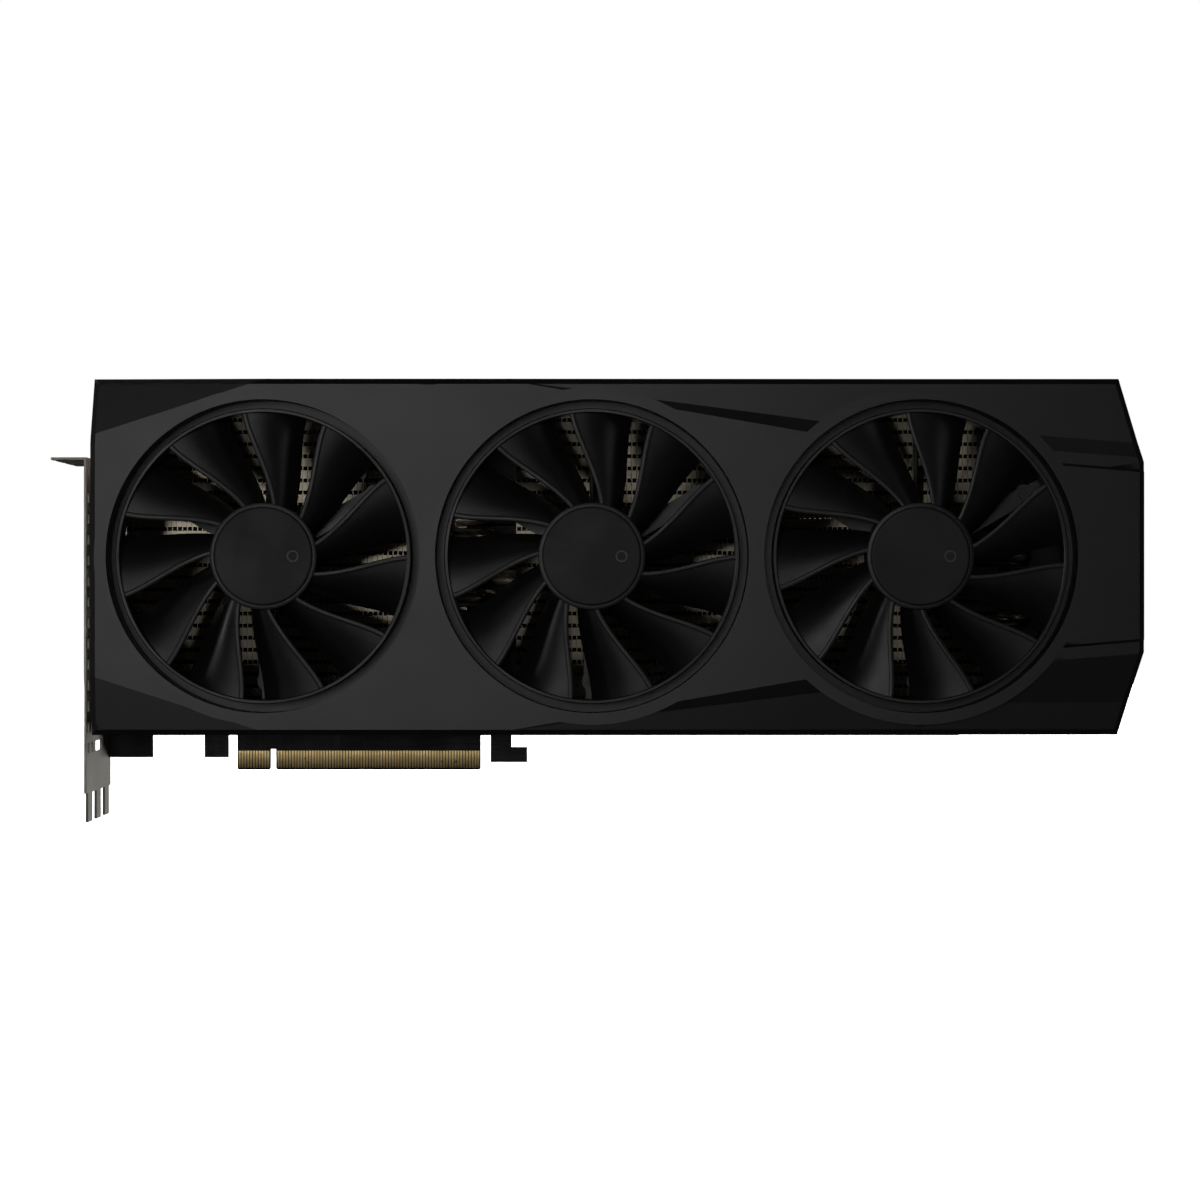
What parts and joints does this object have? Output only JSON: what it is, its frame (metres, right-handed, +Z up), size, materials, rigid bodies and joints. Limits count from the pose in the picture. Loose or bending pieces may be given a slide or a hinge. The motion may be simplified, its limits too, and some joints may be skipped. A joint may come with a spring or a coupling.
{
  "type": "graphics card",
  "caption": "Long air-cooled graphics card with a faceted black shroud, ducted axial fans, a full-length edge connector and a triple-slot bracket.",
  "frame": {"origin": "middle of the edge connector's key notch, at the connector's lower edge, in the board's mid-plane", "axes": "+X to the tail, +Y out of the back plate, +Z up to the power sockets; the fans face -Y"},
  "size_m": [0.3654, 0.0678, 0.1485],
  "materials": {
    "shroud_plastic": "fine moulded texture, black",
    "plate_coat": "satin powder coat, dark grey",
    "bracket_steel": "satin nickel plate",
    "board_resist": "black solder resist",
    "contact_gold": "hard gold plate",
    "package_green": "satin",
    "silicon": "polished",
    "chip_black": "moulded resin",
    "choke_grey": "pressed powder",
    "capacitor_can": "drawn can",
    "connector_black": "glass-filled resin",
    "pin_tin": "tin plate",
    "connector_white": "resin",
    "socket_nickel": "nickel plate",
    "switch_white": "resin",
    "cold_nickel": "nickel-plated copper",
    "pipe_nickel": "nickel-plated copper",
    "fin_aluminium": "bare sheet",
    "memory_plate_coat": "black coat",
    "pad_grey": "soft pad",
    "spring_steel": "satin",
    "screw_black": "black oxide",
    "screw_steel": "zinc plate",
    "lead_black": "sleeve",
    "fan_plastic": "semi-gloss black",
    "hub_cap_film": "satin film",
    "shaft_steel": "ground",
    "magnet_grey": "bonded ferrite",
    "bearing_bronze": "sintered bronze",
    "stator_steel": "laminations",
    "copper_wire": "enamelled copper"
  },
  "bodies": {
    "card": {"front_shroud": "shroud_plastic", "back_plate": "plate_coat", "io_bracket": "bracket_steel", "circuit_board": "board_resist", "edge_contacts": "contact_gold", "gpu_package": "package_green", "gpu_die": "silicon", "memory_chips": "chip_black", "power_stages": "chip_black", "power_chokes": "choke_grey", "capacitors": "capacitor_can", "power_sockets": "connector_black", "power_pins": "pin_tin", "fan_header": "connector_white", "hdmi_socket": "socket_nickel", "display_socket_1": "socket_nickel", "display_socket_2": "socket_nickel", "display_socket_3": "socket_nickel", "socket_tongues": "connector_black", "switch_housing": "connector_black", "cold_plate": "cold_nickel", "heat_pipes": "pipe_nickel", "fin_stack_main": "fin_aluminium", "fin_stack_tail": "fin_aluminium", "memory_plate": "memory_plate_coat", "thermal_pads": "pad_grey", "retention_plate": "spring_steel", "retention_screws": "screw_steel", "back_plate_screws": "screw_black", "shroud_screws": "screw_black", "bracket_screws": "screw_steel", "fan_screws": "screw_steel", "fan_leads": "lead_black", "fan_1_frame": "fan_plastic", "fan_1_bearing": "bearing_bronze", "fan_1_stator": "stator_steel", "fan_1_windings": "copper_wire", "fan_2_frame": "fan_plastic", "fan_2_bearing": "bearing_bronze", "fan_2_stator": "stator_steel", "fan_2_windings": "copper_wire", "fan_3_frame": "fan_plastic", "fan_3_bearing": "bearing_bronze", "fan_3_stator": "stator_steel", "fan_3_windings": "copper_wire"},
    "fan_1_rotor": {"fan_1_impeller": "fan_plastic", "fan_1_cap": "hub_cap_film", "fan_1_shaft": "shaft_steel", "fan_1_magnet": "magnet_grey"},
    "fan_2_rotor": {"fan_2_impeller": "fan_plastic", "fan_2_cap": "hub_cap_film", "fan_2_shaft": "shaft_steel", "fan_2_magnet": "magnet_grey"},
    "fan_3_rotor": {"fan_3_impeller": "fan_plastic", "fan_3_cap": "hub_cap_film", "fan_3_shaft": "shaft_steel", "fan_3_magnet": "magnet_grey"},
    "switch_knob": {"switch_slider": "switch_white"}
  },
  "joints": [
    {"name": "fan_1_spin", "type": "hinge", "parent": "card", "child": "fan_1_rotor", "pos_m": [0.0021, -0.05, 0.074], "axis": [0, -1, 0], "continuous": true},
    {"name": "fan_2_spin", "type": "hinge", "parent": "card", "child": "fan_2_rotor", "pos_m": [0.1117, -0.05, 0.074], "axis": [0, -1, 0], "continuous": true},
    {"name": "fan_3_spin", "type": "hinge", "parent": "card", "child": "fan_3_rotor", "pos_m": [0.2213, -0.05, 0.074], "axis": [0, -1, 0], "continuous": true},
    {"name": "switch_slide", "type": "slide", "parent": "card", "child": "switch_knob", "axis": [1, 0, 0], "range_m": [0, 0.002]}
  ]
}
